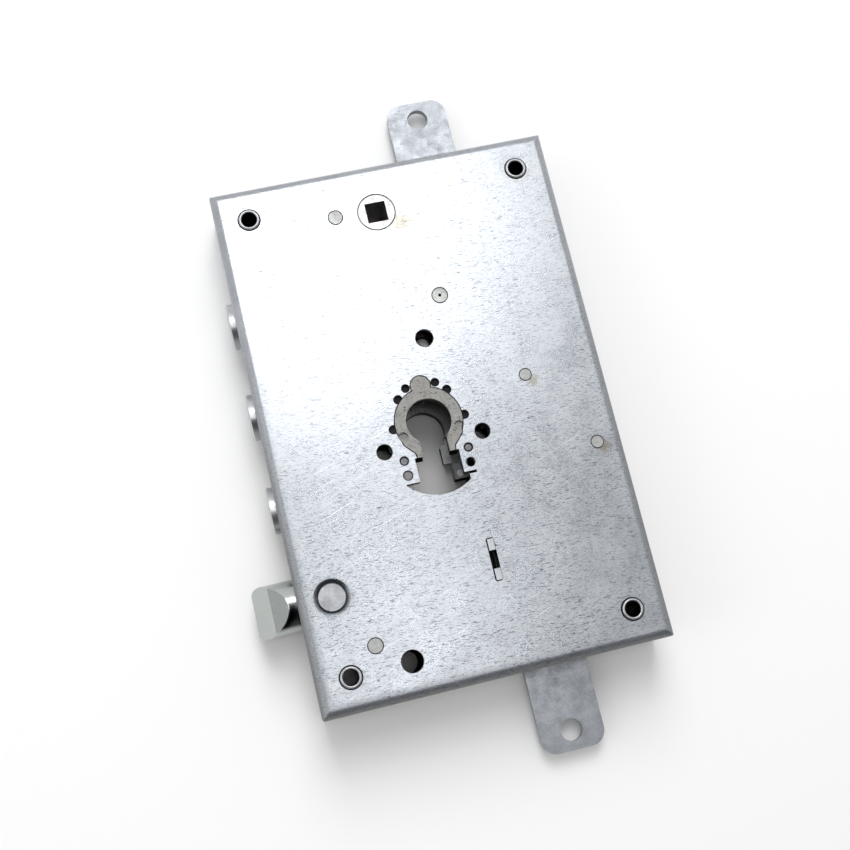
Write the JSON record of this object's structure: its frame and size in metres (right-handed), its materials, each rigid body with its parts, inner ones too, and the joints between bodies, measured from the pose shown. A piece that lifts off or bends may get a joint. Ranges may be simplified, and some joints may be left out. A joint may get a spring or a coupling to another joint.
{
  "type": "mortice door lock",
  "caption": "Armoured-door mortice lock case with round deadbolts, a bevelled latch bolt, a spindle follower, a profile cylinder opening and locking rods that leave both ends.",
  "frame": {"origin": "middle of the four fixing tubes on the back face of the case", "axes": "+X from the bolt edge to the rod side, +Y along the door edge towards the spindle, +Z out of the front plate"},
  "size_m": [0.1497, 0.27, 0.0314],
  "materials": {
    "zinc_sheet": "zinc plated, satin, scratched",
    "cover_steel": "zinc plated, satin",
    "tube_zinc": "zinc plated, bright rim",
    "inner_steel": "plain pressed steel",
    "sintered_steel": "sintered, matte grey",
    "hard_steel": "hardened, dark",
    "pin_steel": "turned and staked",
    "rivet_zinc": "bright speckled zinc",
    "tab_steel": "pressed, dull",
    "spring_steel": "spring steel",
    "bolt_steel": "polished plated steel",
    "gear_steel": "machined",
    "rod_zinc": "matte grey zinc",
    "follower_steel": "sintered, flush with the plate",
    "latch_chrome": "polished chrome"
  },
  "bodies": {
    "case": {"front_shell": "zinc_sheet", "back_cover": "cover_steel", "fixing_tubes": "tube_zinc", "bolt_guide_strip": "inner_steel", "front_cylinder_ring": "sintered_steel", "back_cylinder_ring": "sintered_steel", "anti_drill_plate": "hard_steel", "back_ring_plate": "inner_steel", "front_ring_pins": "pin_steel", "back_ring_pins": "pin_steel", "cylinder_guide": "hard_steel", "cylinder_guide_pin": "pin_steel", "carriage_guide_pin": "pin_steel", "drive_gear_axle": "pin_steel", "drive_gear_clip": "spring_steel", "rod_gear_axle": "pin_steel", "rod_guide_pin": "pin_steel", "transfer_lever_axle": "pin_steel", "latch_crank_axle": "pin_steel", "push_bar_guides": "inner_steel", "latch_saddle": "inner_steel", "saddle_rivet": "rivet_zinc", "latch_spring_bracket": "tab_steel", "latch_spring": "spring_steel"},
    "carriage": {"bolt_carrier": "inner_steel", "carriage_rack": "inner_steel", "deadbolt_top": "bolt_steel", "deadbolt_middle": "bolt_steel", "deadbolt_bottom": "bolt_steel", "bolt_rivets": "pin_steel"},
    "drive_gear": {"drive_wheel": "gear_steel", "drive_pinion": "gear_steel"},
    "rod_gear": {"rod_wheel": "gear_steel", "rod_pinion": "gear_steel"},
    "upper_rod": {"upper_rod": "rod_zinc"},
    "lower_rod": {"lower_rod": "rod_zinc"},
    "follower": {"follower_hub": "follower_steel"},
    "transfer_lever": {"transfer_lever": "inner_steel", "lever_link_pin": "pin_steel"},
    "push_bar": {"push_bar": "inner_steel"},
    "latch_crank": {"latch_crank": "inner_steel", "crank_link_pin": "pin_steel", "crank_drive_pin": "pin_steel"},
    "latch": {"latch_bolt": "latch_chrome", "latch_stem": "inner_steel", "stem_clip": "spring_steel"}
  },
  "joints": [
    {"name": "deadbolt_throw", "type": "slide", "parent": "case", "child": "carriage", "axis": [-1, 0, 0], "range_m": [0, 0.028]},
    {"name": "drive_gear_turn", "type": "hinge", "parent": "case", "child": "drive_gear", "pos_m": [0.00187, 0.0287, 0.012], "axis": [0, 0, 1], "range_deg": [0, 213.92]},
    {"name": "rod_gear_turn", "type": "hinge", "parent": "case", "child": "rod_gear", "pos_m": [0.03642, 0.0065, 0.012], "axis": [0, 0, -1], "range_deg": [0, 201.34]},
    {"name": "upper_rod_slide", "type": "slide", "parent": "case", "child": "upper_rod", "axis": [0, 1, 0], "range_m": [0, 0.02197]},
    {"name": "lower_rod_slide", "type": "slide", "parent": "case", "child": "lower_rod", "axis": [0, -1, 0], "range_m": [0, 0.02197]},
    {"name": "latch_draw", "type": "slide", "parent": "case", "child": "latch", "axis": [1, 0, 0], "range_m": [0, 0.0135], "stiffness_N_per_m": 300, "springref_m": -0.015, "deforming": ["latch_spring"]},
    {"name": "follower_turn", "type": "hinge", "parent": "case", "child": "follower", "pos_m": [-0.0046, 0.082, 0.0155], "axis": [0, 0, -1], "range_deg": [0, 30.01]},
    {"name": "transfer_lever_turn", "type": "hinge", "parent": "case", "child": "transfer_lever", "pos_m": [-0.0207, 0.083, 0.024], "axis": [0, 0, 1], "range_deg": [0, 30.01]},
    {"name": "push_bar_slide", "type": "slide", "parent": "case", "child": "push_bar", "axis": [0, -1, 0], "range_m": [0, 0.00673]},
    {"name": "latch_crank_turn", "type": "hinge", "parent": "case", "child": "latch_crank", "pos_m": [-0.0423, -0.0798, 0.024], "axis": [0, 0, -1], "range_deg": [0, 36.96]}
  ],
  "couplings": [
    {"joint": "drive_gear_turn", "follows": "deadbolt_throw", "rad_per_m": 133.33},
    {"joint": "rod_gear_turn", "follows": "deadbolt_throw", "rad_per_m": 125.49},
    {"joint": "upper_rod_slide", "follows": "deadbolt_throw", "ratio": 0.78431},
    {"joint": "lower_rod_slide", "follows": "deadbolt_throw", "ratio": 0.78431},
    {"joint": "follower_turn", "follows": "latch_draw", "rad_per_m": 38.785},
    {"joint": "transfer_lever_turn", "follows": "latch_draw", "rad_per_m": 38.785},
    {"joint": "push_bar_slide", "follows": "latch_draw", "ratio": 0.49847},
    {"joint": "latch_crank_turn", "follows": "latch_draw", "rad_per_m": 47.77}
  ]
}
